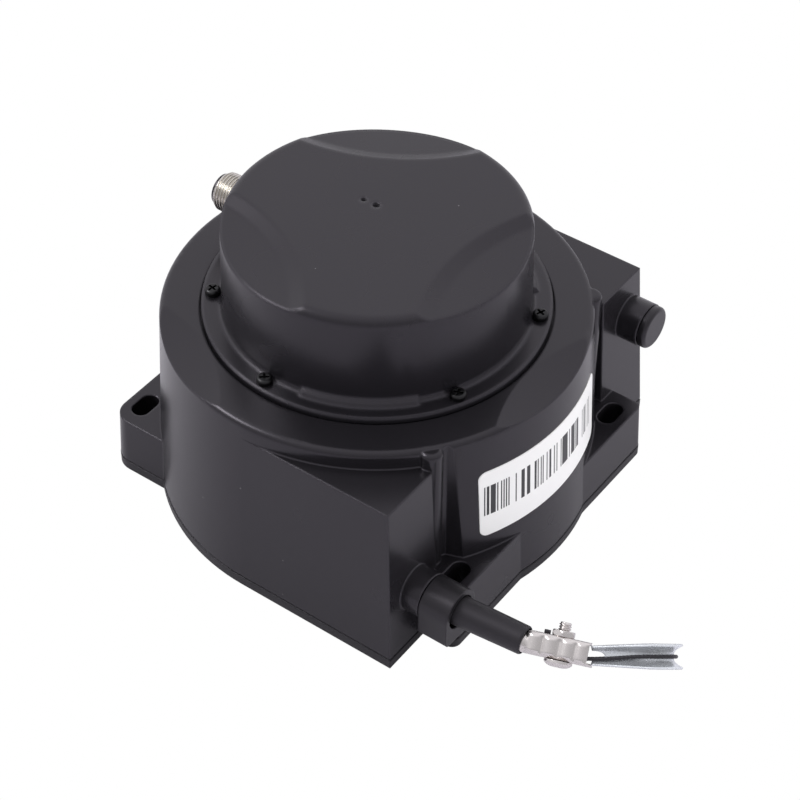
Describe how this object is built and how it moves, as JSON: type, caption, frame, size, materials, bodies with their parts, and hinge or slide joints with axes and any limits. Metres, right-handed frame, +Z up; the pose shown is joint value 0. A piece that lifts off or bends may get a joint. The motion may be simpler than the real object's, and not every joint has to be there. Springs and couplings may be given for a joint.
{
  "type": "draw wire encoder",
  "caption": "Draw wire encoder: black drum housing with a raised cap, round cable connector, and a measuring wire that ends in a clip and thimble.",
  "frame": {"origin": "drum axis on the mounting surface, the underside of the base plate", "axes": "+Z up the drum axis away from the mounting surface, +X the way the wire is pulled out, +Y to the side of the plugged second boss"},
  "size_m": [0.1925, 0.1316, 0.0934],
  "materials": {
    "housing_black": "satin",
    "cap_black": "satin",
    "plate_black": "satin",
    "seal_rubber": "matt",
    "screw_black": "gloss",
    "screw_steel": "bright",
    "label_white": "satin",
    "plug_black": "satin",
    "spring_steel": "bright",
    "bearing_steel": "bright",
    "lid_aluminium": "machined",
    "case_plastic": "satin",
    "brass": "machined",
    "board_green": "gloss",
    "chip_black": "matt",
    "nickel": "bright",
    "gold": "polished",
    "ribbon": "gloss",
    "ceramic": "gloss",
    "felt": "matt",
    "reel_plastic": "satin",
    "wire_coat": "satin",
    "magnet_dark": "satin",
    "holder_blue": "satin",
    "sleeve_black": "satin",
    "clip_nickel": "bright",
    "thimble_zinc": "bright"
  },
  "bodies": {
    "housing_body": {"base_plate": "plate_black", "base_seal": "seal_rubber", "base_screws": "screw_steel", "housing": "housing_black", "blind_plug": "plug_black", "plug_ring": "seal_rubber", "cap_seal": "seal_rubber", "cap": "cap_black", "cap_screws": "screw_black", "type_label": "label_white", "bearing_lid": "lid_aluminium", "spring_case": "case_plastic", "case_screws": "screw_steel", "spiral_spring": "spring_steel", "bearing_outer_rings": "bearing_steel", "board_posts": "brass", "sensor_board": "board_green", "board_parts": "chip_black", "board_screws": "screw_steel", "connector_shell": "nickel", "connector_nut": "nickel", "connector_ring": "seal_rubber", "connector_insert": "plug_black", "connector_pins": "gold", "connector_leads": "ribbon", "outlet_collar": "plug_black", "wire_guide": "ceramic", "wire_wiper": "felt"},
    "reel_body": {"shaft": "bearing_steel", "reel": "reel_plastic", "wire_turns": "wire_coat", "spring_arbor": "screw_steel", "bearing_inner_rings": "bearing_steel", "bearing_balls": "bearing_steel", "magnet_holder": "holder_blue", "magnet": "magnet_dark"},
    "wire_end_body": {"wire_lead": "wire_coat", "end_sleeve": "sleeve_black", "wire_clip": "clip_nickel", "clip_screw": "clip_nickel", "clip_nut": "clip_nickel", "thimble": "thimble_zinc", "wire_loop": "wire_coat"}
  },
  "joints": [
    {"name": "drum_spin", "type": "hinge", "parent": "housing_body", "child": "reel_body", "pos_m": [0, 0, 0.0221], "axis": [0, 0, 1], "range_deg": [0, 3240], "stiffness_Nm_per_rad": 0.00844, "springref_deg": -2160.05},
    {"name": "wire_pull", "type": "slide", "parent": "housing_body", "child": "wire_end_body", "axis": [1, 0, 0], "range_m": [0, 3], "deforming": ["wire_lead"]}
  ],
  "couplings": [
    {"joint": "wire_pull", "follows": "drum_spin", "m_per_rad": 0.05305}
  ]
}
